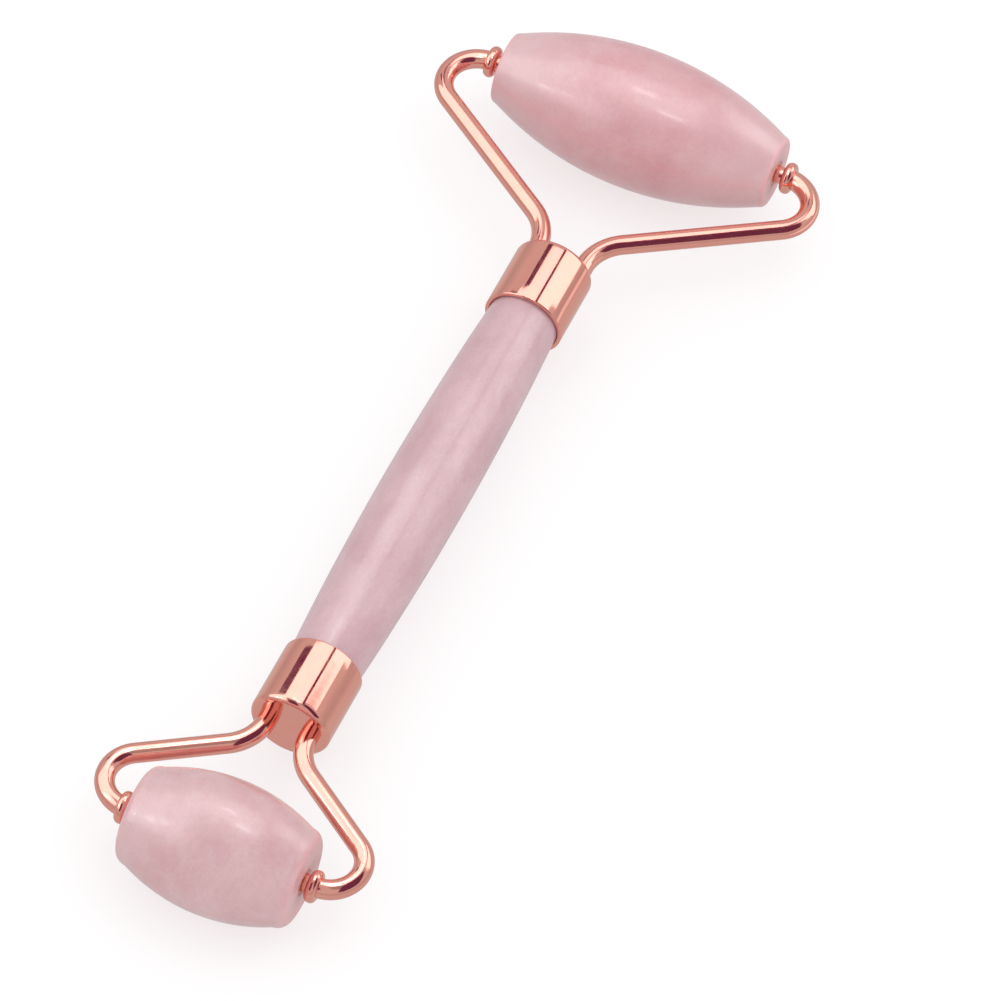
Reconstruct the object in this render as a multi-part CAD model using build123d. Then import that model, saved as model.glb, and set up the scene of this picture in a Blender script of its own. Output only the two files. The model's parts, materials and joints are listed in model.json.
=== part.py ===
from build123d import *
import math
import os
from dataclasses import dataclass

# Double-ended facial roller: a polished stone handle with a large and a small
# stone barrel, each barrel turning in a bent wire fork. Lengths in millimetres.
#
# Working frame: X runs along the handle towards the large barrel, both barrel
# axes lie along Y, and the origin is midway between the two axes.

# --- layout along the handle --------------------------------------------------
AXLE_SPACING = 130.0          # between the two barrel axes
HALF_SPACING = AXLE_SPACING / 2

# --- fork wire, shared by both heads ------------------------------------------
WIRE_D = 2.6
ARM_ANGLE = 55.8              # slope of the straight run from the handle axis
PIN_D = 2.3                   # turned-down end of the wire
PIN_CHAMFER = 0.3
PIN_DEPTH = 5.5               # reach of the pin inside the barrel

# --- bead-shaped collar pushed over the end of the hook ---------------------------
COLLAR_D = 4.3
COLLAR_T = 1.5
COLLAR_ROUND = 0.7

# --- sleeve in each end of a barrel ----------------------------------------------
BUSH_BORE_D = 2.4
BUSH_D = 3.4
BUSH_L = 6.0

# --- ferrule cup -------------------------------------------------------------------
FERRULE_D = 10.8
FERRULE_L = 10.4
FERRULE_WALL = 0.6
FERRULE_END_T = 0.6
FERRULE_END_ROUND = 0.8
FERRULE_RIM_ROUND = 0.2
WIRE_EMBED = 3.4              # wire held inside the cup, behind its end wall

# --- handle ------------------------------------------------------------------------
HANDLE_MID_D = 11.3
HANDLE_END_D = 9.5
TENON_L = 5.0                 # handle inside each ferrule
TENON_CHAMFER = 0.4
GLUE_RECESS = 0.4             # bonding resin stops short of the rim


@dataclass(frozen=True)
class Head:
    """One end of the roller: its barrel, and where its fork and ferrule sit."""

    name: str
    direction: int            # +1 towards +X, -1 towards -X
    face_x: float             # closed face of the ferrule, from the middle
    exit_y: float             # offset of each wire where it leaves the ferrule
    exit_bend_r: float        # centreline radius of the bend at the ferrule
    hook_bend_r: float        # centreline radius of the hook round to the axle
    hook_y: float             # where the hook ends, at the middle of the collar
    barrel_l: float
    barrel_d: float
    barrel_end_d: float
    barrel_edge_r: float


LARGE = Head("large", 1, 37.25, 3.35, 7.0, 4.6, 21.4, 39.3, 18.6, 9.3, 0.6)
SMALL = Head("small", -1, 44.85, 2.85, 6.5, 4.35, 12.95, 23.2, 17.6, 11.6, 1.5)
HEADS = (LARGE, SMALL)
SIDES = (("left", 1), ("right", -1))

# --- rest pose: both barrels stand on the ground plane ---------------------------------
RISE = (LARGE.barrel_d - SMALL.barrel_d) / 2
TILT = math.degrees(math.asin(RISE / AXLE_SPACING))
REST_HEIGHT = (LARGE.barrel_d + SMALL.barrel_d) / 4
REST_SHIFT = -RISE / 2
AT_REST = Pos(REST_SHIFT, 0, REST_HEIGHT) * Rot(0, -TILT, 0)


def barrel(head):
    """Barrel stone drilled through along Y, centred on its own axis."""
    half = head.barrel_l / 2
    bore_r = BUSH_D / 2
    end_r = head.barrel_end_d / 2
    with BuildSketch() as section:
        with BuildLine():
            crown = ThreePointArc((end_r, -half), (head.barrel_d / 2, 0), (end_r, half))
            Polyline(crown @ 1, (bore_r, half), (bore_r, -half), crown @ 0)
        make_face()
        corners = section.vertices().filter_by_position(Axis.X, end_r, end_r)
        fillet(corners, head.barrel_edge_r)
    return revolve(section.sketch, Axis.Y)


def tube_along_y(outer_d, inner_d, length):
    """Plain tube lying along +Y from the origin."""
    turned = Rot(-90, 0, 0)
    grow = (Align.CENTER, Align.CENTER, Align.MIN)
    outer = turned * Cylinder(outer_d / 2, length, align=grow)
    inner = turned * Cylinder(inner_d / 2, length, align=grow)
    return outer - inner


def collar(head):
    """Bead-shaped collar on the +Y side, bored to fit the hook and the pin."""
    ring = tube_along_y(COLLAR_D, PIN_D, COLLAR_T)
    rims = ring.edges().filter_by(GeomType.CIRCLE).group_by(SortBy.RADIUS)[-1]
    bead = Pos(HALF_SPACING, head.hook_y - COLLAR_T / 2, 0) * fillet(rims, COLLAR_ROUND)
    return bead - arm(head)


def arm(head):
    """Wire arm on the +Y side: out of the ferrule, round the hook and into the pin."""
    slope_x = math.cos(math.radians(ARM_ANGLE))
    slope_y = math.sin(math.radians(ARM_ANGLE))
    hook_x = HALF_SPACING - head.hook_bend_r
    run_end_x = hook_x - head.hook_bend_r * slope_y
    run_end_y = head.hook_y + head.hook_bend_r * slope_x
    run_start_y = head.exit_y + head.exit_bend_r * (1 - slope_x)
    run_start_x = run_end_x - (run_end_y - run_start_y) * slope_x / slope_y
    bend_x = run_start_x - head.exit_bend_r * slope_y
    inner_end_x = head.face_x - FERRULE_END_T - WIRE_EMBED
    with BuildLine() as path:
        stem = Line((inner_end_x, head.exit_y), (bend_x, head.exit_y))
        exit_bend = JernArc(stem @ 1, (1, 0), head.exit_bend_r, ARM_ANGLE)
        run = Line(exit_bend @ 1, (run_end_x, run_end_y))
        JernArc(run @ 1, (slope_x, slope_y), head.hook_bend_r, -(90 + ARM_ANGLE))
    start = Plane(origin=(inner_end_x, head.exit_y, 0), x_dir=(0, 1, 0), z_dir=(1, 0, 0))
    wire = sweep(start * Circle(WIRE_D / 2), path.line)
    tip_y = head.barrel_l / 2 - PIN_DEPTH
    pin_l = head.hook_y - tip_y
    pin = Pos(HALF_SPACING, tip_y, 0) * pin_rod(pin_l)
    return wire + pin


def pin_rod(length):
    """Solid pin along +Y from the origin, its tip chamfered."""
    rod = Rot(-90, 0, 0) * Cylinder(
        PIN_D / 2, length, align=(Align.CENTER, Align.CENTER, Align.MIN)
    )
    tip = rod.edges().filter_by(GeomType.CIRCLE).sort_by(Axis.Y)[0]
    return chamfer(tip, PIN_CHAMFER)


def rod_along_x(diameter, start_x, end_x, y=0):
    """Solid rod along X between two stations."""
    grow = (Align.CENTER, Align.CENTER, Align.MIN)
    rod = Rot(0, 90, 0) * Cylinder(diameter / 2, end_x - start_x, align=grow)
    return Pos(start_x, y, 0) * rod


def ferrule(head):
    """Drawn metal cup, open towards the handle, its end wall holed for the wires."""
    rim_x = head.face_x - FERRULE_L
    cup = rod_along_x(FERRULE_D, rim_x, head.face_x)
    end_edge = cup.edges().filter_by(GeomType.CIRCLE).sort_by(Axis.X)[-1]
    cup = fillet(end_edge, FERRULE_END_ROUND)
    cavity_d = FERRULE_D - 2 * FERRULE_WALL
    cup -= rod_along_x(cavity_d, rim_x, head.face_x - FERRULE_END_T)
    rim = cup.edges().filter_by(GeomType.CIRCLE).group_by(Axis.X)[0]
    cup = fillet(rim, FERRULE_RIM_ROUND)
    for side in (1, -1):
        cup -= rod_along_x(WIRE_D, rim_x, head.face_x, side * head.exit_y)
    return cup


def glue(head):
    """Resin filling the cup round the handle tenon and both wires."""
    rim_x = head.face_x - FERRULE_L
    end_x = head.face_x - FERRULE_END_T
    cavity_d = FERRULE_D - 2 * FERRULE_WALL
    plug = rod_along_x(cavity_d, rim_x + GLUE_RECESS, end_x)
    for side in (1, -1):
        plug -= rod_along_x(WIRE_D, end_x - WIRE_EMBED, end_x, side * head.exit_y)
    return plug


def handle():
    """Spindle-shaped stone grip with a plain tenon at each end."""
    front_x = LARGE.face_x - FERRULE_L
    back_x = -(SMALL.face_x - FERRULE_L)
    end_r = HANDLE_END_D / 2
    with BuildSketch() as section:
        with BuildLine():
            belly = ThreePointArc(
                (back_x, end_r),
                ((front_x + back_x) / 2, HANDLE_MID_D / 2),
                (front_x, end_r),
            )
            Polyline(
                belly @ 1,
                (front_x + TENON_L - TENON_CHAMFER, end_r),
                (front_x + TENON_L, end_r - TENON_CHAMFER),
                (front_x + TENON_L, 0),
                (back_x - TENON_L, 0),
                (back_x - TENON_L, end_r - TENON_CHAMFER),
                (back_x - TENON_L + TENON_CHAMFER, end_r),
                belly @ 0,
            )
        make_face()
    return revolve(section.sketch, Axis.X)


def build():
    """Every piece in its rest position, keyed by node name."""
    grip = handle()
    pieces = {"handle": AT_REST * grip}
    for head in HEADS:
        turn = Rot(0, 0, 0 if head.direction > 0 else 180)
        place = AT_REST * turn
        pieces[f"{head.name}_ferrule"] = place * ferrule(head)
        pieces[f"{head.name}_ferrule_glue"] = AT_REST * (turn * glue(head) - grip)
        pieces[f"{head.name}_roller_stone"] = place * Pos(HALF_SPACING, 0, 0) * barrel(head)
        for side_name, world_side in SIDES:
            side = world_side * head.direction
            flip = Rot(0, 0, 0) if side > 0 else Rot(180, 0, 0)
            out = place * flip
            bush_y = head.barrel_l / 2 - BUSH_L
            pieces[f"{head.name}_fork_{side_name}_arm"] = out * arm(head)
            pieces[f"{head.name}_{side_name}_collar"] = out * collar(head)
            pieces[f"{head.name}_{side_name}_bush"] = (
                out * Pos(HALF_SPACING, bush_y, 0) * tube_along_y(BUSH_D, BUSH_BORE_D, BUSH_L)
            )
    return pieces


os.makedirs("parts", exist_ok=True)
for node, shape in build().items():
    export_step(shape, f"parts/{node}.step")
    print(node, round(shape.volume, 3), shape.is_valid)
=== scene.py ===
"""Looks of a double-ended facial roller: rose quartz barrels and grip, rose gold forks."""

import json
import logging
import math
from dataclasses import dataclass, field
from enum import Enum
from typing import Callable, Iterable, Sequence

import bmesh
import bpy
from mathutils import Matrix, Vector, noise


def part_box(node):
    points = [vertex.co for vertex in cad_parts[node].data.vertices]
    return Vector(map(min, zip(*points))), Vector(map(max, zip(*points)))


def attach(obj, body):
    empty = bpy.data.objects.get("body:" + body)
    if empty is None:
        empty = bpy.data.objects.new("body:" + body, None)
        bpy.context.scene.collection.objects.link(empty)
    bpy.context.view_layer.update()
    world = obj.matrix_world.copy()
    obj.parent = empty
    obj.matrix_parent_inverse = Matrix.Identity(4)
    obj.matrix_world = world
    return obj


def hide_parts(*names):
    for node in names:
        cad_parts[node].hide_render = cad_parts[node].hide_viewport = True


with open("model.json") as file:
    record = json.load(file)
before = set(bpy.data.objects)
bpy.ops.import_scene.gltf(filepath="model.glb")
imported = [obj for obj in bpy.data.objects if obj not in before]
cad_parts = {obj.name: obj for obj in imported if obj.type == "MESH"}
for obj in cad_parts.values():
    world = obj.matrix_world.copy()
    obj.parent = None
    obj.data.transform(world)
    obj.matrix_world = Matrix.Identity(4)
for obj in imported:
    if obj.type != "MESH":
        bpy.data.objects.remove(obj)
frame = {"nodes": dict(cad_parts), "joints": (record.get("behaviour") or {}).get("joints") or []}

LOG = logging.getLogger("face_roller")
MM = 0.001
SHARP = math.radians(24)
INSET = 0.02  # millimetres that a long piece stops short of its CAD ends

Point = tuple[float, float]
Triple = tuple[float, float, float]
Rgb = tuple[float, float, float]


class Side(Enum):
    """The two sides of the roller, seen from the grip towards the large barrel."""

    LEFT = "left"
    RIGHT = "right"

    @property
    def sign(self) -> int:
        """Sign of Y on this side."""
        return 1 if self is Side.LEFT else -1


class End(Enum):
    """The two ends of the grip."""

    LARGE = "large"
    SMALL = "small"

    @property
    def sign(self) -> int:
        """Sign of X towards this end."""
        return 1 if self is End.LARGE else -1


# --- benches: where things are -----------------------------------


@dataclass(frozen=True)
class Bench:
    """Straight line through both barrel axes, with Y across it.

    Stations along the line are measured in millimetres from its middle.
    """

    middle: Vector
    along: Vector

    @classmethod
    def from_joints(cls, joints: Sequence[dict]) -> "Bench":
        """Lay the bench through the two spin joints.

        Args:
            joints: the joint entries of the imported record.

        Returns:
            The bench from the small barrel's axis to the large one's.
        """
        spots = {j["child"]: Vector(j["pos_m"]) for j in joints}
        large, small = spots["large_roller"], spots["small_roller"]
        return cls((large + small) / 2, (large - small).normalized())

    def matrix(self, end: End) -> Matrix:
        """Frame whose X points out of the grip at one end and whose Z points up.

        Args:
            end: the end that X points to.

        Returns:
            The 4 by 4 matrix from millimetres on the bench to metres in the row frame.
        """
        out = self.along * end.sign
        across = Vector((0.0, float(end.sign), 0.0))
        up = out.cross(across).normalized()
        turn = Matrix((out, across, up)).transposed().to_4x4()
        return Matrix.Translation(self.middle) @ turn @ Matrix.Scale(MM, 4)

    def station(self, x: float) -> float:
        """Station in millimetres of a row frame X in metres."""
        return (x - self.middle.x) / self.along.x / MM


# --- node graphs -------------------------------------------------


class Graph:
    """A material's node tree, with short methods for the nodes the finishes use."""

    def __init__(self, name: str) -> None:
        """Start an empty material.

        Args:
            name: the material's name.
        """
        self.material = bpy.data.materials.new(name)
        self.material.use_nodes = True
        self.tree = self.material.node_tree
        self.tree.nodes.clear()

    def add(self, kind: str, **inputs: object) -> bpy.types.Node:
        """Add a node and set or link its inputs.

        Args:
            kind: Blender's node type name.
            inputs: socket names with underscores for spaces, and values or sockets.

        Returns:
            The new node.
        """
        node = self.tree.nodes.new(kind)
        for key, value in inputs.items():
            self.plug(node.inputs[key.replace("_", " ")], value)
        return node

    def plug(self, socket: bpy.types.NodeSocket, value: object) -> None:
        """Link a socket to another, or set its value.

        Args:
            socket: the input socket.
            value: another socket, a colour or a plain value.
        """
        if isinstance(value, bpy.types.NodeSocket):
            self.tree.links.new(value, socket)
        elif isinstance(value, tuple) and socket.type == "RGBA":
            socket.default_value = (*value[:3], 1.0)
        else:
            socket.default_value = value

    def millimetres(self, shift: Triple = (0.0, 0.0, 0.0)) -> bpy.types.NodeSocket:
        """Object coordinates in millimetres.

        Args:
            shift: offset in millimetres, so that two pieces show different patterns.

        Returns:
            The vector socket.
        """
        coords = self.add("ShaderNodeTexCoord")
        mapping = self.add("ShaderNodeMapping", Vector=coords.outputs["Object"])
        mapping.inputs["Scale"].default_value = (1 / MM, 1 / MM, 1 / MM)
        mapping.inputs["Location"].default_value = shift
        return mapping.outputs["Vector"]

    def stretch(
        self, vector: bpy.types.NodeSocket, scale: Triple
    ) -> bpy.types.NodeSocket:
        """Scale a vector by a different amount on each axis.

        Args:
            vector: the incoming coordinates.
            scale: the factor on each axis.

        Returns:
            The scaled coordinates.
        """
        mapping = self.add("ShaderNodeMapping", Vector=vector)
        mapping.inputs["Scale"].default_value = scale
        return mapping.outputs["Vector"]

    def noise(
        self,
        vector: bpy.types.NodeSocket,
        scale: float,
        detail: float = 4.0,
        roughness: float = 0.5,
        distortion: float = 0.0,
    ) -> bpy.types.NodeSocket:
        """Fractal noise from 0 to 1.

        Args:
            vector: coordinates in millimetres.
            scale: features per millimetre.
            detail: octaves.
            roughness: weight of the finer octaves.
            distortion: how much the pattern is swirled.

        Returns:
            The value socket.
        """
        node = self.add(
            "ShaderNodeTexNoise",
            Vector=vector,
            Scale=scale,
            Detail=detail,
            Roughness=roughness,
            Distortion=distortion,
        )
        return node.outputs["Fac"]

    def warp(
        self, vector: bpy.types.NodeSocket, scale: float, amount: float
    ) -> bpy.types.NodeSocket:
        """Bend coordinates by coarse noise.

        Args:
            vector: coordinates in millimetres.
            scale: features per millimetre of the bending noise.
            amount: how far a point moves, in millimetres.

        Returns:
            The bent coordinates.
        """
        bend = self.add("ShaderNodeTexNoise", Vector=vector, Scale=scale, Detail=2.0)
        centred = self.add("ShaderNodeVectorMath")
        centred.operation = "MULTIPLY_ADD"
        self.plug(centred.inputs[0], bend.outputs["Color"])
        centred.inputs[1].default_value = (amount, amount, amount)
        self.plug(centred.inputs[2], vector)
        return centred.outputs["Vector"]

    def spread(
        self,
        value: bpy.types.NodeSocket,
        low: float,
        high: float,
        to_low: float = 0.0,
        to_high: float = 1.0,
        smooth: bool = False,
    ) -> bpy.types.NodeSocket:
        """Map a value from one range to another and hold it there.

        Args:
            value: the incoming value.
            low: value that becomes to_low.
            high: value that becomes to_high.
            to_low: lower result.
            to_high: higher result.
            smooth: ease in and out instead of a straight ramp.

        Returns:
            The mapped value socket.
        """
        node = self.add(
            "ShaderNodeMapRange",
            Value=value,
            From_Min=low,
            From_Max=high,
            To_Min=to_low,
            To_Max=to_high,
        )
        node.interpolation_type = "SMOOTHSTEP" if smooth else "LINEAR"
        return node.outputs["Result"]

    def math(
        self, operation: str, first: object, second: object = 0.0
    ) -> bpy.types.NodeSocket:
        """One arithmetic step on two values.

        Args:
            operation: Blender's name for the operation.
            first: first value or socket.
            second: second value or socket.

        Returns:
            The result socket.
        """
        node = self.add("ShaderNodeMath")
        node.operation = operation
        self.plug(node.inputs[0], first)
        self.plug(node.inputs[1], second)
        return node.outputs["Value"]

    def blend(
        self, share: object, first: object, second: object, mode: str = "MIX"
    ) -> bpy.types.NodeSocket:
        """Mix two colours.

        Args:
            share: weight of the second colour.
            first: colour or socket at share 0.
            second: colour or socket at share 1.
            mode: Blender's blend mode.

        Returns:
            The colour socket.
        """
        node = self.add("ShaderNodeMix")
        node.data_type = "RGBA"
        node.blend_type = mode
        self.plug(node.inputs[0], share)
        self.plug(node.inputs[6], first)
        self.plug(node.inputs[7], second)
        return node.outputs[2]

    def bump(
        self,
        height: bpy.types.NodeSocket,
        strength: float,
        depth: float,
        under: bpy.types.NodeSocket | None = None,
    ) -> bpy.types.NodeSocket:
        """Surface relief from a height value.

        Args:
            height: height from 0 to 1.
            strength: how much of the relief shows.
            depth: full height of the relief in millimetres.
            under: a normal to lay this relief on.

        Returns:
            The normal socket.
        """
        node = self.add(
            "ShaderNodeBump", Height=height, Strength=strength, Distance=depth * MM
        )
        if under is not None:
            self.plug(node.inputs["Normal"], under)
        return node.outputs["Normal"]

    def surface(self, **inputs: object) -> bpy.types.Material:
        """Close the graph with a principled surface.

        Args:
            inputs: socket names with underscores for spaces, and values or sockets.

        Returns:
            The finished material.
        """
        return self.close(self.add("ShaderNodeBsdfPrincipled", **inputs).outputs["BSDF"])

    def close(self, shader: bpy.types.NodeSocket) -> bpy.types.Material:
        """Make a shader the material's surface, and give the material."""
        self.add("ShaderNodeOutputMaterial", Surface=shader)
        return self.material


# --- finishes ----------------------------------------------------


@dataclass(frozen=True)
class RoseQuartz:
    """Polished cloudy pink quartz with milky drifts, healed cracks and fine grain.

    A stone with an end_station grows paler along Y towards its ends, which is painted
    light, and its end faces, which stand that many millimetres from the middle, are hazy
    and painted a deeper pink in place of light, offsetting the grey sheen they catch.
    """

    name: str
    deep: Rgb
    pale: Rgb
    milk: Rgb
    shift: Triple
    # Pink painted on the end faces in place of light, offsetting their grey sheen.
    painted_face_tint: Rgb = (0.66, 0.26, 0.285)
    stretch: Triple = (1.0, 1.0, 1.0)
    drift_share: float = 0.16
    crack_share: float = 0.1
    end_station: float = 0.0
    # Share of milk painted towards both ends, which is painted light.
    painted_end_light: float = 0.0
    # Share of that end-face pink, painted in place of light.
    painted_face_share: float = 0.35
    end_haze: float = 0.25
    slot: str = "roller_stone"

    def body(self, g: Graph, place: bpy.types.NodeSocket) -> bpy.types.NodeSocket:
        """Colour of the stone under its polish.

        Args:
            g: the material's graph.
            place: coordinates in millimetres.

        Returns:
            The colour socket.
        """
        swirled = g.warp(g.stretch(place, self.stretch), scale=0.11, amount=7.0)
        clouds = g.noise(swirled, scale=0.15, detail=4.0, roughness=0.5)
        body = g.blend(g.spread(clouds, 0.32, 0.68, smooth=True), self.deep, self.pale)
        flow = g.noise(g.stretch(swirled, (0.6, 1.0, 1.5)), scale=0.27, detail=4.0, roughness=0.55)
        drifts = g.spread(flow, 0.5, 0.74, to_high=self.drift_share, smooth=True)
        body = g.blend(drifts, body, self.milk)
        mottles = g.noise(swirled, scale=0.85, detail=5.0, roughness=0.6)
        share = g.spread(mottles, 0.3, 0.7)
        body = self.shade(g, body, share, dim=(0.97, 0.955, 0.957), lit=(1.025, 1.04, 1.04))
        grain = g.noise(place, scale=2.8, detail=4.0, roughness=0.75)
        share = g.spread(grain, 0.34, 0.66)
        body = self.shade(g, body, share, dim=(0.955, 0.935, 0.935), lit=(1.035, 1.055, 1.055))
        return g.blend(self.cracks(g, place), body, self.milk)

    def shade(
        self,
        g: Graph,
        body: bpy.types.NodeSocket,
        share: bpy.types.NodeSocket,
        dim: Rgb,
        lit: Rgb,
    ) -> bpy.types.NodeSocket:
        """Darken and lighten a colour in patches.

        Args:
            g: the material's graph.
            body: the colour to change.
            share: where each patch lies between dim and lit.
            dim: factor where the share is 0.
            lit: factor where the share is 1.

        Returns:
            The colour socket.
        """
        return g.blend(1.0, body, g.blend(share, dim, lit), "MULTIPLY")

    def cracks(self, g: Graph, place: bpy.types.NodeSocket) -> bpy.types.NodeSocket:
        """Faint healed cracks, in a few places only.

        Args:
            g: the material's graph.
            place: coordinates in millimetres.

        Returns:
            The share of milk along the cracks.
        """
        bent = g.warp(place, scale=0.12, amount=4.0)
        level = g.noise(bent, scale=0.1, detail=2.0, roughness=0.45)
        ridge = g.math("ABSOLUTE", g.math("SUBTRACT", level, 0.5))
        line = g.spread(ridge, 0.0, 0.012, to_low=1.0, to_high=0.0, smooth=True)
        patches = g.noise(place, scale=0.09, detail=2.0)
        where = g.spread(patches, 0.52, 0.66, to_high=self.crack_share, smooth=True)
        return g.math("MULTIPLY", line, where)

    def reach(self, g: Graph) -> bpy.types.NodeSocket:
        """Distance from the middle of the barrel along its axis, in millimetres."""
        split = g.add("ShaderNodeSeparateXYZ", Vector=g.millimetres())
        return g.math("ABSOLUTE", split.outputs["Y"])

    def build(self) -> bpy.types.Material:
        """Make the material.

        Returns:
            The finished stone.
        """
        g = Graph(self.name)
        place = g.millimetres(self.shift)
        body = self.body(g, place)
        fine = g.noise(place, scale=3.0, detail=3.0, roughness=0.65)
        rough = g.spread(fine, 0.3, 0.7, to_low=0.31, to_high=0.40)
        if self.end_station:
            reach = self.reach(g)
            # Painted light: the body is paled towards milk nearer both ends.
            near, far = self.end_station * 0.35, self.end_station * 0.95
            body = g.blend(g.spread(reach, near, far, to_high=self.painted_end_light), body, self.milk)
            # The end faces are painted a deeper pink in place of light, offsetting their grey
            # sheen; the same mask also makes them hazier.
            near, far = self.end_station - 0.7, self.end_station - 0.05
            ends = g.spread(reach, near, far, smooth=True)
            body = g.blend(g.math("MULTIPLY", ends, self.painted_face_share), body, self.painted_face_tint)
            rough = g.math("ADD", rough, g.math("MULTIPLY", ends, self.end_haze))
        wavy = g.bump(g.noise(place, scale=0.3, detail=2.0), strength=0.5, depth=0.05)
        pitted = g.bump(g.spread(fine, 0.3, 0.7), strength=0.3, depth=0.008, under=wavy)
        return g.surface(
            Base_Color=body,
            Roughness=rough,
            IOR=1.54,
            Specular_IOR_Level=1.0,
            Subsurface_Weight=0.5,
            Subsurface_Radius=(1.0, 0.52, 0.5),
            Subsurface_Scale=1.4 * MM,
            Coat_Weight=0.5,
            Coat_Roughness=0.12,
            Coat_IOR=1.5,
            Normal=pitted,
        )


@dataclass(frozen=True)
class RoseGold:
    """Bright rose gold plate with buffing haze, hairlines and a faint orange peel."""

    name: str
    tint: Rgb
    rim_tint: Rgb
    gloss: float
    scratch: Triple
    haze: float = 0.035
    pitting: float = 0.3

    def build(self) -> bpy.types.Material:
        """Make the material.

        Returns:
            The finished plate.
        """
        g = Graph(self.name)
        place = g.millimetres()
        haze = g.noise(place, scale=0.5, detail=4.0, roughness=0.6)
        hairs = g.noise(g.stretch(place, self.scratch), scale=1.0, detail=4.0, roughness=0.65)
        colour = g.blend(g.spread(haze, 0.35, 0.65, smooth=True), self.tint, self.rim_tint)
        buffed = g.spread(haze, 0.3, 0.7, to_low=self.gloss, to_high=self.gloss + self.haze)
        rough = g.math("ADD", buffed, g.spread(hairs, 0.45, 0.75, to_high=0.05))
        peel = g.bump(g.noise(place, scale=0.9, detail=2.0), strength=0.4, depth=0.006)
        pits = g.spread(g.noise(place, scale=2.2, detail=2.0), 0.66, 0.72, smooth=True)
        pitted = g.bump(pits, strength=self.pitting, depth=-0.004, under=peel)
        lines = g.spread(hairs, 0.35, 0.75)
        hairline = g.bump(lines, strength=0.25, depth=0.0015, under=pitted)
        return g.surface(
            Base_Color=colour,
            Metallic=1.0,
            Roughness=rough,
            Normal=hairline,
        )


@dataclass(frozen=True)
class Resin:
    """Cured clear amber bonding resin."""

    name: str
    colour: Rgb
    edge: Rgb

    def build(self) -> bpy.types.Material:
        """Make the material.

        Returns:
            The finished resin.
        """
        g = Graph(self.name)
        place = g.millimetres()
        flow = g.noise(place, scale=0.8, detail=3.0, roughness=0.5, distortion=0.6)
        colour = g.blend(g.spread(flow, 0.35, 0.65), self.colour, self.edge)
        relief = g.bump(flow, strength=0.4, depth=0.03)
        return g.surface(
            Base_Color=colour,
            Roughness=g.spread(flow, 0.3, 0.7, to_low=0.16, to_high=0.3),
            Subsurface_Weight=0.3,
            Subsurface_Radius=(1.0, 0.7, 0.4),
            Subsurface_Scale=0.8 * MM,
            Normal=relief,
        )


# --- mesh making -------------------------------------------------


@dataclass
class Skin:
    """Vertices and faces of a piece as it is built up."""

    points: list[Vector] = field(default_factory=list)
    faces: list[tuple[int, ...]] = field(default_factory=list)

    def ring(self, points: Iterable[Vector]) -> list[int]:
        """Add a ring of points and give their numbers."""
        first = len(self.points)
        self.points.extend(points)
        return list(range(first, len(self.points)))

    def bridge(self, one: Sequence[int], two: Sequence[int]) -> None:
        """Close the band between two rings.

        Args:
            one: point numbers of the first ring.
            two: as many point numbers of the second ring.
        """
        count = len(one)
        for i in range(count):
            j = (i + 1) % count
            self.faces.append((one[i], one[j], two[j], two[i]))

    def tube(self, rings: Sequence[Sequence[int]]) -> None:
        """Close the bands between rings in a row."""
        for one, two in zip(rings, rings[1:]):
            self.bridge(one, two)

    def cap(self, ring: Sequence[int], centre: Vector, flip: bool = False) -> None:
        """Close a ring with a fan to a centre point.

        Args:
            ring: point numbers round the rim.
            centre: the point all the faces share.
            flip: turn the faces the other way.
        """
        hub = self.ring([centre])[0]
        count = len(ring)
        for i in range(count):
            j = (i + 1) % count
            self.faces.append((ring[j], ring[i], hub) if flip else (ring[i], ring[j], hub))

    def to_object(self, name: str, place: Matrix) -> bpy.types.Object:
        """Make a smooth-shaded object whose place is in its mesh.

        Args:
            name: the piece's name.
            place: matrix from the skin's points to the row frame.

        Returns:
            The new object, linked to the scene.
        """
        mesh = bpy.data.meshes.new(name)
        mesh.from_pydata([place @ p for p in self.points], [], self.faces)
        thing = bpy.data.objects.new(name, mesh)
        bpy.context.scene.collection.objects.link(thing)
        outward(thing)
        mesh.polygons.foreach_set("use_smooth", [True] * len(mesh.polygons))
        mesh.set_sharp_from_angle(angle=SHARP)
        mesh.update()
        return thing


def outward(thing: bpy.types.Object) -> None:
    """Turn every face of a closed mesh outwards.

    Args:
        thing: the object whose mesh is turned.
    """
    work = bmesh.new()
    work.from_mesh(thing.data)
    bmesh.ops.recalc_face_normals(work, faces=work.faces)
    work.to_mesh(thing.data)
    work.free()


def arc_point(centre: Point, radius: float, angle: float) -> Point:
    """Point on a circle at an angle in degrees."""
    turn = math.radians(angle)
    return centre[0] + radius * math.cos(turn), centre[1] + radius * math.sin(turn)


def arc_points(centre: Point, radius: float, start: float, end: float, count: int) -> list[Point]:
    """Points on a circular arc.

    Args:
        centre: the arc's centre.
        radius: its radius.
        start: first angle in degrees.
        end: last angle in degrees.
        count: number of steps.

    Returns:
        count + 1 points.
    """
    step = (end - start) / count
    return [arc_point(centre, radius, start + step * i) for i in range(count + 1)]


def lathe(
    profile: Sequence[Point],
    segments: int,
    relief: Callable[[float, float], float] | None = None,
) -> Skin:
    """Turn a profile about the line of its stations.

    Args:
        profile: (station, radius) points. A profile that starts and ends at radius 0
            is capped there, and any other is closed into a ring.
        segments: steps round the axis.
        relief: how far the surface sinks, from the station and the angle.

    Returns:
        The skin, with its axis along X.
    """
    skin = Skin()
    rings = []
    capped = profile[0][1] == 0 and profile[-1][1] == 0
    for along, radius in profile[1:-1] if capped else profile:
        points = []
        for i in range(segments):
            turn = 2 * math.pi * i / segments
            reach = radius - (relief(along, turn) if relief else 0.0)
            points.append(Vector((along, reach * math.cos(turn), reach * math.sin(turn))))
        rings.append(skin.ring(points))
    skin.tube(rings)
    if capped:
        skin.cap(rings[0], Vector((profile[0][0], 0, 0)), True)
        skin.cap(rings[-1], Vector((profile[-1][0], 0, 0)))
    else:
        skin.bridge(rings[-1], rings[0])
    return skin


# --- pieces ------------------------------------------------------


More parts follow.
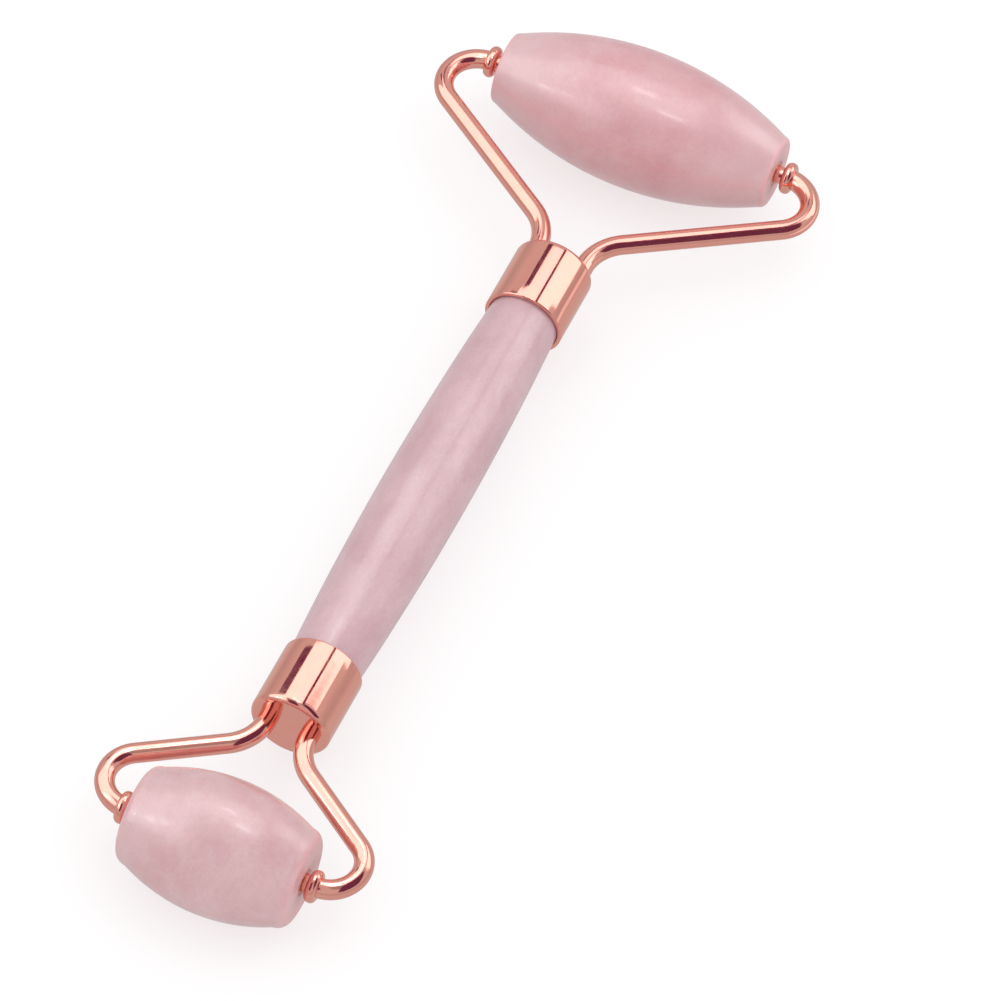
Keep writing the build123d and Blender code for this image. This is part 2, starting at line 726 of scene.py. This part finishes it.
@dataclass(frozen=True)
class Room:
    """Room a round part takes up in the frame, with its axis along Y."""

    centre: Vector
    half: float
    radius: float

    @classmethod
    def of(cls, node: str) -> "Room":
        """Measure a frame node.

        Args:
            node: the node's name.

        Returns:
            Its centre in metres, and its half length and radius in millimetres.
        """
        low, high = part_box(node)
        return cls((low + high) / 2, (high.y - low.y) / 2 / MM, (high.z - low.z) / 2 / MM)

    def matrix(self) -> Matrix:
        """Matrix from a skin turned about X, in millimetres, to the row frame."""
        turn = Matrix.Rotation(math.radians(90), 4, "Z")
        return Matrix.Translation(self.centre) @ turn @ Matrix.Scale(MM, 4)


def settle(
    piece: bpy.types.Object,
    body: str,
    node: str,
    material: bpy.types.Material,
) -> bpy.types.Object:
    """Dress a piece, hang it on its body and let it stand for its node.

    Args:
        piece: the new object.
        body: name of the body it rides on.
        node: the frame node it stands for.
        material: the finish.

    Returns:
        The same piece.
    """
    piece.data.materials.clear()
    piece.data.materials.append(material)
    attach(piece, body)
    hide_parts(node)
    LOG.info("%s rides on %s and stands for %s", piece.name, body, node)
    return piece


@dataclass
class Barrel:
    """A drilled stone barrel with ground and softly polished ends."""

    end: End
    stone: RoseQuartz
    end_radius: float
    edge: float
    bore: float = 1.7
    lip: float = 0.12
    lapping: float = 0.022
    sweep_steps: int = 96
    edge_steps: int = 10
    bore_steps: int = 6
    segments: int = 192

    @property
    def node(self) -> str:
        """Frame node of the stone."""
        return f"{self.end.value}_roller_stone"

    def profile(self) -> list[Point]:
        """Outline of half the section.

        Returns:
            (station, radius) points from the left end, over the crown, to the right end
            and back through the hole.
        """
        room = Room.of(self.node)
        half, crown = room.half, room.radius
        rise = crown - self.end_radius
        sweep_r = (half * half + rise * rise) / (2 * rise)
        slope = math.degrees(math.asin((half - self.edge) / sweep_r))
        outer = []
        for i in range(1, self.sweep_steps):
            turn = math.radians(-slope + 2 * slope * i / self.sweep_steps)
            outer.append((sweep_r * math.sin(turn), crown - sweep_r + sweep_r * math.cos(turn)))
        last = math.radians(slope)
        edge_r = crown - sweep_r + sweep_r * math.cos(last) - self.edge
        centre = (half - self.edge, edge_r)
        right = arc_points(centre, self.edge, 90 - slope / 2, 0, self.edge_steps)
        left = [(-x, r) for x, r in reversed(right)]
        mouth = half - self.lip
        hole = [
            (mouth - 2 * mouth * i / self.bore_steps, self.bore)
            for i in range(self.bore_steps + 1)
        ]
        face = [(half, edge_r * 0.7 + self.bore * 0.3), (half, self.bore + self.lip)]
        far_face = [(-x, r) for x, r in reversed(face)]
        return left + outer + right + face + hole + far_face

    def relief(self, along: float, turn: float) -> float:
        """Depth of hand lapping at a spot on the skin.

        Args:
            along: station in millimetres.
            turn: angle round the axis in radians.

        Returns:
            How far the skin sinks, in millimetres.
        """
        spot = Vector((along * 0.11, math.cos(turn) * 1.1, math.sin(turn) * 1.1))
        spot += Vector((self.end.sign * 7.0, 3.0, 1.0))
        return self.lapping * (0.5 + 0.5 * noise.noise(spot))

    def build(self) -> bpy.types.Object:
        """Make the stone in place.

        Returns:
            The dressed stone.
        """
        skin = lathe(self.profile(), self.segments, self.relief)
        piece = skin.to_object(f"{self.end.value}_barrel", Room.of(self.node).matrix())
        body = f"{self.end.value}_roller"
        return settle(piece, body, self.node, self.stone.build())


@dataclass
class Bush:
    """Thin plated sleeve in one end of a barrel's hole."""

    end: End
    side: Side
    material: bpy.types.Material
    bore: float = 1.2
    lip: float = 0.12
    segments: int = 96

    def build(self) -> bpy.types.Object:
        """Make the sleeve in place.

        Returns:
            The dressed sleeve.
        """
        node = f"{self.end.value}_{self.side.value}_bush"
        room = Room.of(node)
        half, outer = room.half, room.radius
        profile = [
            (-half, outer - self.lip),
            (-half + self.lip, outer),
            (half - self.lip, outer),
            (half, outer - self.lip),
            (half, self.bore + self.lip),
            (half - self.lip, self.bore),
            (-half + self.lip, self.bore),
            (-half, self.bore + self.lip),
        ]
        piece = lathe(profile, self.segments).to_object(f"{node}_sleeve", room.matrix())
        return settle(piece, f"{self.end.value}_roller", node, self.material)


@dataclass
class Collar:
    """Round-shouldered bead pushed over the end of the wire's hook."""

    end: End
    side: Side
    material: bpy.types.Material
    bore: float = 1.15
    lip: float = 0.06
    shoulder: float = 0.7
    shoulder_steps: int = 14
    segments: int = 96

    def build(self) -> bpy.types.Object:
        """Make the bead in place.

        Returns:
            The dressed bead.
        """
        node = f"{self.end.value}_{self.side.value}_collar"
        room = Room.of(node)
        half, rise = room.half, room.radius - self.shoulder
        inset = half - self.shoulder
        left = arc_points((-inset, rise), self.shoulder, 180, 90, self.shoulder_steps)
        right = arc_points((inset, rise), self.shoulder, 90, 0, self.shoulder_steps)
        bore = [(half, self.bore + self.lip), (half - self.lip, self.bore)]
        bore += [(-x, r) for x, r in reversed(bore)]
        skin = lathe(left + right + bore, self.segments)
        piece = skin.to_object(f"{node}_bead", room.matrix())
        return settle(piece, "grip", node, self.material)


@dataclass
class Arm:
    """One bent wire of a fork, from inside the ferrule to the pin in the barrel."""

    end: End
    side: Side
    bench: Bench
    material: bpy.types.Material
    exit_y: float
    exit_bend: float
    hook_bend: float
    wire: float = 1.3
    pin: float = 1.15
    pin_depth: float = 5.5
    chamfer: float = 0.3
    slope: float = 55.8
    stem_steps: int = 12
    bend_steps: int = 24
    run_steps: int = 24
    hook_steps: int = 64
    sides: int = 48

    @property
    def node(self) -> str:
        """Frame node of the wire."""
        return f"{self.end.value}_fork_{self.side.value}_arm"

    def stations(self) -> tuple[float, float, float, float]:
        """Places that fix the wire's shape, in millimetres on the bench.

        Returns:
            Inner end and barrel axis along it, hook foot and pin tip across it.
        """
        low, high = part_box(self.node)
        inner = self.bench.station(low.x if self.end is End.LARGE else high.x)
        collar = Room.of(f"{self.end.value}_{self.side.value}_collar")
        axis = self.bench.station(collar.centre.x)
        stone = Room.of(f"{self.end.value}_roller_stone")
        return abs(inner) + INSET, abs(axis), abs(collar.centre.y) / MM, stone.half - self.pin_depth

    def path(self) -> list[tuple[Vector, Vector, float]]:
        """Centreline of the wire and pin.

        Returns:
            Point, direction and radius at each step, in bench millimetres.
        """
        inner, axis, foot, tip = self.stations()
        cos_s, sin_s = math.cos(math.radians(self.slope)), math.sin(math.radians(self.slope))
        hook = (axis - self.hook_bend, foot)
        run_end = (hook[0] - self.hook_bend * sin_s, hook[1] + self.hook_bend * cos_s)
        run_y = self.exit_y + self.exit_bend * (1 - cos_s)
        run_x = run_end[0] - (run_end[1] - run_y) * cos_s / sin_s
        bend = (run_x - self.exit_bend * sin_s, self.exit_y + self.exit_bend)
        line = []
        for i in range(self.stem_steps):
            share = i / self.stem_steps
            line.append(((inner + (bend[0] - inner) * share, self.exit_y), 0.0))
        for i in range(self.bend_steps + 1):
            turn = self.slope * i / self.bend_steps
            line.append((arc_point(bend, self.exit_bend, turn - 90), turn))
        for i in range(1, self.run_steps):
            share = i / self.run_steps
            x = run_x + (run_end[0] - run_x) * share
            y = run_y + (run_end[1] - run_y) * share
            line.append(((x, y), self.slope))
        for i in range(self.hook_steps + 1):
            turn = self.slope - (90 + self.slope) * i / self.hook_steps
            line.append((arc_point(hook, self.hook_bend, turn + 90), turn))
        steps = [(Vector((x, y, 0)), heading(turn), self.wire) for (x, y), turn in line]
        down = Vector((0, -1, 0))
        steps += [
            (Vector((axis, foot, 0)), down, self.pin),
            (Vector((axis, foot - 0.3, 0)), down, self.pin),
            (Vector((axis, tip + self.chamfer, 0)), down, self.pin),
            (Vector((axis, tip, 0)), down, self.pin - self.chamfer),
        ]
        return steps

    def build(self) -> bpy.types.Object:
        """Make the wire in place.

        Returns:
            The dressed wire.
        """
        mirror = Matrix.Diagonal((1, self.side.sign * self.end.sign, 1))
        skin = Skin()
        rings = []
        up = Vector((0, 0, 1))
        path = self.path()
        for spot, ahead, radius in path:
            across = up.cross(ahead).normalized()
            points = []
            for i in range(self.sides):
                turn = 2 * math.pi * i / self.sides
                point = spot + across * (radius * math.cos(turn)) + up * (radius * math.sin(turn))
                points.append(mirror @ point)
            rings.append(skin.ring(points))
        skin.tube(rings)
        skin.cap(rings[0], mirror @ path[0][0], True)
        skin.cap(rings[-1], mirror @ path[-1][0])
        piece = skin.to_object(f"{self.node}_wire", self.bench.matrix(self.end))
        return settle(piece, "grip", self.node, self.material)


def heading(turn: float) -> Vector:
    """Unit vector in the bench plane at an angle in degrees from X."""
    return Vector((math.cos(math.radians(turn)), math.sin(math.radians(turn)), 0.0))


@dataclass
class Ferrule:
    """Drawn cup with a rolled shoulder, a flat polished end and a thin open rim."""

    end: End
    bench: Bench
    material: bpy.types.Material
    outer: float = 5.4
    wall: float = 0.6
    floor: float = 0.6
    shoulder: float = 0.8
    lip: float = 0.2
    length: float = 10.4
    shoulder_steps: int = 14
    wall_steps: int = 5
    lip_steps: int = 6
    segments: int = 192

    @property
    def node(self) -> str:
        """Frame node of the cup."""
        return f"{self.end.value}_ferrule"

    def profile(self) -> list[Point]:
        """Section of the cup.

        Returns:
            (station, radius) points from the middle of the end face, over the wall and
            round the rim, to the middle of the floor inside.
        """
        low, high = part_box(self.node)
        lean = self.outer * math.sqrt(1 - self.bench.along.x**2)
        reach = self.bench.station(high.x if self.end is End.LARGE else low.x)
        face = abs(reach) - lean
        rim = face - self.length + self.lip
        inner = self.outer - self.wall
        turned = (face - self.shoulder, self.outer - self.shoulder)
        wall = face - self.shoulder - 0.3
        wall_step = (self.length - 1.6) / self.wall_steps
        section = [(face, 0.0), (face, 2.0), (face, turned[1] - 0.15)]
        section += arc_points(turned, self.shoulder, 0, 90, self.shoulder_steps)
        section += [(wall - wall_step * i, self.outer) for i in range(self.wall_steps)]
        section += arc_points((rim, self.outer - self.lip), self.lip, 90, 180, self.lip_steps)
        section += arc_points((rim, inner + self.lip), self.lip, 180, 270, self.lip_steps)
        section += [(rim + 0.4, inner), (face - self.floor - self.lip, inner)]
        section += [(face - self.floor, inner - self.lip), (face - self.floor, 0.0)]
        return section

    def build(self) -> bpy.types.Object:
        """Make the cup in place.

        Returns:
            The dressed cup.
        """
        skin = lathe(self.profile(), self.segments)
        piece = skin.to_object(f"{self.node}_cup", self.bench.matrix(self.end))
        return settle(piece, "grip", self.node, self.material)


@dataclass
class Grip:
    """Stone spindle held in the hand, with a tenon in each ferrule."""

    bench: Bench
    stone: RoseQuartz
    middle: float = 5.65
    end_radius: float = 4.75
    tenon: float = 5.0
    chamfer: float = 0.4
    lapping: float = 0.03
    sweep_steps: int = 96
    segments: int = 160

    def profile(self) -> list[Point]:
        """Outline of half the section.

        Returns:
            (station, radius) points from the small end of the spindle to the large one.
        """
        low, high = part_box("handle")
        back, front = self.bench.station(low.x) + INSET, self.bench.station(high.x) - INSET
        neck_a, neck_b = back + self.tenon, front - self.tenon
        centre, half = (neck_a + neck_b) / 2, (neck_b - neck_a) / 2
        rise = self.middle - self.end_radius
        sweep_r = (half * half + rise * rise) / (2 * rise)
        sunk = self.end_radius - self.chamfer
        outline = [(back, 0.0), (back, sunk), (back + self.chamfer, self.end_radius)]
        for i in range(self.sweep_steps + 1):
            x = -half + 2 * half * i / self.sweep_steps
            outline.append((centre + x, self.middle - sweep_r + math.sqrt(sweep_r**2 - x * x)))
        outline += [(front - self.chamfer, self.end_radius), (front, sunk), (front, 0.0)]
        return outline

    def relief(self, along: float, turn: float) -> float:
        """Depth of hand lapping at a spot on the skin.

        Args:
            along: station in millimetres.
            turn: angle round the axis in radians.

        Returns:
            How far the skin sinks, in millimetres.
        """
        spot = Vector((along * 0.07, math.cos(turn), math.sin(turn))) + Vector((2.0, 5.0, 9.0))
        return self.lapping * (0.5 + 0.5 * noise.noise(spot))

    def build(self) -> bpy.types.Object:
        """Make the spindle in place.

        Returns:
            The dressed spindle.
        """
        skin = lathe(self.profile(), self.segments, self.relief)
        piece = skin.to_object("handle_spindle", self.bench.matrix(End.LARGE))
        return settle(piece, "grip", "handle", self.stone.build())


@dataclass(frozen=True)
class Plating:
    """Finishes of everything at an end but the stone."""

    wire: bpy.types.Material
    cup: bpy.types.Material
    sleeve: bpy.types.Material
    resin: bpy.types.Material


@dataclass
class Head:
    """Everything at one end: ferrule, resin, fork, collars, sleeves and barrel."""

    end: End
    bench: Bench
    barrel: Barrel
    plating: Plating
    exit_y: float
    exit_bend: float
    hook_bend: float

    def build(self) -> list[bpy.types.Object]:
        """Make every piece of this end.

        Returns:
            The pieces, in the order they are assembled.
        """
        plating = self.plating
        pieces = [Ferrule(self.end, self.bench, plating.cup).build()]
        for side in Side:
            arm = Arm(
                self.end,
                side,
                self.bench,
                plating.wire,
                exit_y=self.exit_y,
                exit_bend=self.exit_bend,
                hook_bend=self.hook_bend,
            )
            pieces.append(arm.build())
            pieces.append(Collar(self.end, side, plating.wire).build())
            pieces.append(Bush(self.end, side, plating.sleeve).build())
        pieces.append(self.barrel.build())
        glue = frame["nodes"][f"{self.end.value}_ferrule_glue"]
        glue.data.materials.clear()
        glue.data.materials.append(plating.resin)
        LOG.info("%s dressed in resin", glue.name)
        return pieces


# --- studio ------------------------------------------------------


@dataclass(frozen=True)
class Card:
    """A bright or dark sheet over the table, seen only in polished surfaces.

    Corners are shares of the hanging height, and drop is how far below it the sheet
    hangs, in metres, so that one sheet can cover part of another.
    """

    name: str
    corners: tuple[Point, ...]
    glow: float
    tint: Rgb = (1.0, 1.0, 1.0)
    drop: float = 0.0

    def hang(self, height: float) -> bpy.types.Object:
        """Hang the sheet over the table.

        Args:
            height: hanging height in metres.

        Returns:
            The sheet.
        """
        g = Graph(self.name)
        light = g.add("ShaderNodeEmission", Color=self.tint, Strength=self.glow)
        corners = [Vector((x * height, y * height, height - self.drop)) for x, y in self.corners]
        sheet = Skin(corners, [tuple(range(len(corners)))]).to_object(self.name, Matrix.Identity(4))
        sheet.data.materials.append(g.close(light.outputs["Emission"]))
        sheet.visible_camera = False
        sheet.visible_diffuse = False
        sheet.visible_transmission = False
        sheet.visible_shadow = False
        return sheet


def slab(x0: float, x1: float, y0: float, y1: float) -> tuple[Point, ...]:
    """Corners of a rectangle."""
    return ((x0, y0), (x1, y0), (x1, y1), (x0, y1))


PLUM: Rgb = (1.0, 0.30, 0.75)

RIGHT_SOFTBOX = (
    (0.48, -0.33), (1.7, -0.33), (3.2, -3.7), (2.55, -3.7), (1.17, -1.45), (0.90, -1.45)
)
SMALL_CUP_SHADE = ((0.58, 0.751), (0.75, 0.751), (1.20, 1.66), (1.03, 1.66))
CAMERA_SHADE = (
    (-0.14, -0.30), (0.36, -0.40), (0.45, -0.75), (0.30, -1.5),
    (0.0, -2.6), (-1.9, -2.5), (-2.15, -2.03), (-0.76, -0.78),
)
LEFT_WIRE_SHADE = ((-0.30, -0.10), (-0.14, -0.28), (-0.56, -0.66), (-0.74, -0.42))
HOOK_SHADE = ((-0.40, 0.05), (-0.55, 0.48), (-3.0, 0.75), (-3.0, 0.05), (-1.2, -0.15))

CARDS = (
    Card("overhead_softbox", slab(-0.05, 0.86, -0.24, 0.80), glow=1.8),
    Card("left_softbox", slab(-1.7, 0.45, 0.80, 3.6), glow=1.8),
    Card("left_softbox_wing", slab(-1.3, -0.05, 0.50, 0.80), glow=1.8),
    Card("right_softbox", RIGHT_SOFTBOX, glow=1.9),
    Card("softbox_seam", slab(-0.05, 1.25, -0.35, -0.23), glow=0.17, tint=PLUM, drop=0.001),
    Card("large_cup_shade", slab(0.80, 1.0, 0.37, 0.64), glow=0.15, tint=PLUM, drop=0.002),
    Card("small_cup_shade", SMALL_CUP_SHADE, glow=0.15, tint=PLUM, drop=0.002),
    Card("camera_shade", CAMERA_SHADE, glow=0.14, tint=PLUM, drop=0.001),
    Card("left_wire_shade", LEFT_WIRE_SHADE, glow=0.40),
    Card("hook_shade", HOOK_SHADE, glow=0.16, tint=PLUM),
    Card("table_bounce", slab(0.15, 0.37, -0.47, -0.13), glow=0.95, drop=0.298),
    Card("large_overhead_lamp", slab(0.27, 0.37, 0.08, 0.22), glow=9.0, drop=0.003),
    Card("small_overhead_lamp", slab(-0.07, 0.03, -0.13, 0.01), glow=9.0, drop=0.003),
    Card("large_left_lamp", slab(-1.0, -0.74, 1.26, 1.52), glow=9.0, drop=0.003),
    Card("small_left_lamp", slab(-0.82, -0.66, 0.84, 1.0), glow=8.0, drop=0.003),
)


@dataclass
class Studio:
    """Pale table, soft light, reflection cards and the camera."""

    look_at: Triple = (0.00563, -0.00701, 0.0)
    distance: float = 1.0717
    azimuth: float = -71.449
    elevation: float = 53.041
    roll: float = 7.024
    lens: float = 299.28
    sensor: float = 36.0
    clip: tuple[float, float] = (0.05, 50.0)
    table: Rgb = (0.25, 0.29, 0.288)
    table_patch: Rgb = (0.26, 0.30, 0.298)
    table_glow: Rgb = (0.70, 0.64, 0.645)
    table_reach: float = 12.0
    table_gap: float = 0.00002
    lamp_place: Triple = (0.25, -0.35, 1.1)
    lamp_size: float = 0.6
    lamp_power: float = 1.0
    air: float = 1.31
    mirror_bands: tuple[tuple[float, float], ...] = (
        (-1.0, 0.60), (-0.35, 0.66), (-0.08, 0.52), (0.12, 0.58), (0.35, 0.67), (1.0, 0.66)
    )
    mirror_tint: Rgb = (1.0, 0.99, 0.985)
    card_height: float = 0.3

    def build(self) -> None:
        """Set up everything that isn't the roller."""
        self.floor()
        self.world()
        self.overhead()
        for card in CARDS:
            card.hang(self.card_height)
        self.camera()
        view = bpy.context.scene.view_settings
        view.view_transform = "Standard"
        view.look = "None"

    def floor(self) -> None:
        """Lay a wide pale table under the roller, with a faint glow that keeps it white."""
        g = Graph("pale_table")
        place = g.millimetres()
        patches = g.noise(place, scale=0.004, detail=2.0)
        tone = g.blend(patches, self.table, self.table_patch)
        finish = g.surface(
            Base_Color=tone,
            Roughness=0.75,
            Specular_IOR_Level=0.0,
            Emission_Color=self.table_glow,
            Emission_Strength=1.0,
        )
        reach = self.table_reach
        corners = [Vector((x, y, -self.table_gap)) for x, y in slab(-reach, reach, -reach, reach)]
        table = Skin(corners, [(0, 1, 2, 3)]).to_object("table", Matrix.Identity(4))
        table.data.materials.append(finish)
        table.visible_glossy = False

    def world(self) -> None:
        """Fill the surroundings with soft light, dimmer and banded in reflections."""
        world = bpy.data.worlds.new("studio_air")
        bpy.context.scene.world = world
        world.use_nodes = True
        nodes, link = world.node_tree.nodes, world.node_tree.links.new
        air = nodes.get("Background")
        air.inputs["Color"].default_value = (self.air, self.air, self.air, 1.0)
        facing = nodes.new("ShaderNodeTexCoord")
        split = nodes.new("ShaderNodeSeparateXYZ")
        height = nodes.new("ShaderNodeMapRange")
        height.inputs["From Min"].default_value = -1.0
        ramp = nodes.new("ShaderNodeValToRGB")
        steps = ramp.color_ramp.elements
        while len(steps) < len(self.mirror_bands):
            steps.new(0.5)
        for step, (level, glow) in zip(steps, self.mirror_bands):
            step.position = (level + 1) / 2
            step.color = (*(glow * share for share in self.mirror_tint), 1.0)
        mirror = nodes.new("ShaderNodeBackground")
        path = nodes.new("ShaderNodeLightPath")
        pick = nodes.new("ShaderNodeMixShader")
        link(facing.outputs["Generated"], split.inputs[0])
        link(split.outputs["Z"], height.inputs["Value"])
        link(height.outputs["Result"], ramp.inputs["Fac"])
        link(ramp.outputs["Color"], mirror.inputs["Color"])
        link(path.outputs["Is Glossy Ray"], pick.inputs[0])
        link(air.outputs[0], pick.inputs[1])
        link(mirror.outputs[0], pick.inputs[2])
        link(pick.outputs[0], nodes.get("World Output").inputs["Surface"])

    def overhead(self) -> None:
        """Hang one soft light high over the roller's right side, for gentle shadows."""
        light = bpy.data.lights.new("soft_overhead", "AREA")
        light.shape = "DISK"
        light.size = self.lamp_size
        light.energy = self.lamp_power
        lamp = bpy.data.objects.new("soft_overhead", light)
        lamp.location = self.lamp_place
        lamp.rotation_euler = (-lamp.location).to_track_quat("-Z", "Y").to_euler()
        lamp.visible_camera = False
        lamp.visible_glossy = False
        bpy.context.scene.collection.objects.link(lamp)

    def camera(self) -> None:
        """Stand the camera where the maker's view is taken from."""
        a, e, r = (math.radians(v) for v in (self.azimuth, self.elevation, self.roll))
        back = Vector((math.sin(a) * math.cos(e), -math.cos(a) * math.cos(e), math.sin(e)))
        flat = (-back).cross(Vector((0, 0, 1))).normalized()
        rise = flat.cross(-back)
        right = flat * math.cos(r) + rise * math.sin(r)
        up = rise * math.cos(r) - flat * math.sin(r)
        data = bpy.data.cameras.new("studio_camera")
        data.lens = self.lens
        data.sensor_width = self.sensor
        data.clip_start, data.clip_end = self.clip
        eye = bpy.data.objects.new("studio_camera", data)
        turn = Matrix((right, up, back)).transposed().to_4x4()
        eye.matrix_world = Matrix.Translation(Vector(self.look_at) + back * self.distance) @ turn
        bpy.context.scene.collection.objects.link(eye)
        bpy.context.scene.camera = eye


# --- assembly ----------------------------------------------------


def barrel_stones() -> tuple[RoseQuartz, RoseQuartz]:
    """Stones of the large and the small barrel.

    Returns:
        The large barrel's stone, paler towards its ends as painted light, and the small one's.
    """
    _, large_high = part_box("large_roller_stone")
    _, small_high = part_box("small_roller_stone")
    large = RoseQuartz(
        "rose_quartz_large",
        deep=(0.535, 0.26, 0.283),
        pale=(0.57, 0.315, 0.338),
        milk=(0.62, 0.46, 0.47),
        shift=(11.0, 4.0, 7.0),
        end_station=large_high.y / MM,
        # the paling towards the ends is painted light
        painted_end_light=0.42,
    )
    small = RoseQuartz(
        "rose_quartz_small",
        deep=(0.53, 0.30, 0.315),
        pale=(0.565, 0.36, 0.375),
        milk=(0.62, 0.49, 0.50),
        # pink painted on the end faces in place of light
        painted_face_tint=(0.66, 0.285, 0.30),
        shift=(3.0, 21.0, 5.0),
        end_station=small_high.y / MM,
    )
    return large, small


def grip_stone() -> RoseQuartz:
    """Paler, greyer stone of the grip, its clouds drawn out lengthwise.

    Returns:
        The finish.
    """
    return RoseQuartz(
        "rose_quartz_grip",
        deep=(0.475, 0.283, 0.316),
        pale=(0.52, 0.333, 0.363),
        milk=(0.60, 0.46, 0.48),
        shift=(40.0, 8.0, 2.0),
        stretch=(0.7, 1.0, 1.0),
        slot="handle_stone",
    )


def rose_gold_plating() -> Plating:
    """Bright plate on the wires and cups, satin plate on the sleeves, and the resin.

    Returns:
        The finished materials, shared by both ends.
    """
    wire = RoseGold(
        "rose_gold_wire",
        tint=(0.95, 0.41, 0.342),
        rim_tint=(0.93, 0.44, 0.35),
        gloss=0.08,
        scratch=(2.5, 2.5, 2.5),
    )
    cup = RoseGold(
        "rose_gold_cup",
        tint=(0.95, 0.41, 0.342),
        rim_tint=(0.93, 0.43, 0.34),
        gloss=0.06,
        scratch=(0.4, 6.0, 6.0),
    )
    sleeve = RoseGold(
        "rose_gold_sleeve",
        tint=(0.88, 0.42, 0.27),
        rim_tint=(0.84, 0.38, 0.25),
        gloss=0.40,
        scratch=(6.0, 0.5, 6.0),
    )
    resin = Resin("amber_resin", colour=(0.62, 0.50, 0.38), edge=(0.70, 0.60, 0.48))
    return Plating(wire.build(), cup.build(), sleeve.build(), resin.build())


def main() -> None:
    """Build the roller and its studio."""
    logging.basicConfig(level=logging.INFO, format="%(message)s")
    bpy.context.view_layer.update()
    bench = Bench.from_joints(frame["joints"])
    Grip(bench, grip_stone()).build()
    plating = rose_gold_plating()
    large_stone, small_stone = barrel_stones()
    heads = (
        Head(
            End.LARGE,
            bench,
            Barrel(End.LARGE, large_stone, end_radius=4.65, edge=0.6),
            plating,
            exit_y=3.35,
            exit_bend=7.0,
            hook_bend=4.6,
        ),
        Head(
            End.SMALL,
            bench,
            Barrel(End.SMALL, small_stone, end_radius=5.8, edge=1.5),
            plating,
            exit_y=2.85,
            exit_bend=6.5,
            hook_bend=4.35,
        ),
    )
    for head in heads:
        made = head.build()
        LOG.info("%s head: %d pieces", head.end.value, len(made))
    Studio().build()


if __name__ == "__main__":
    main()
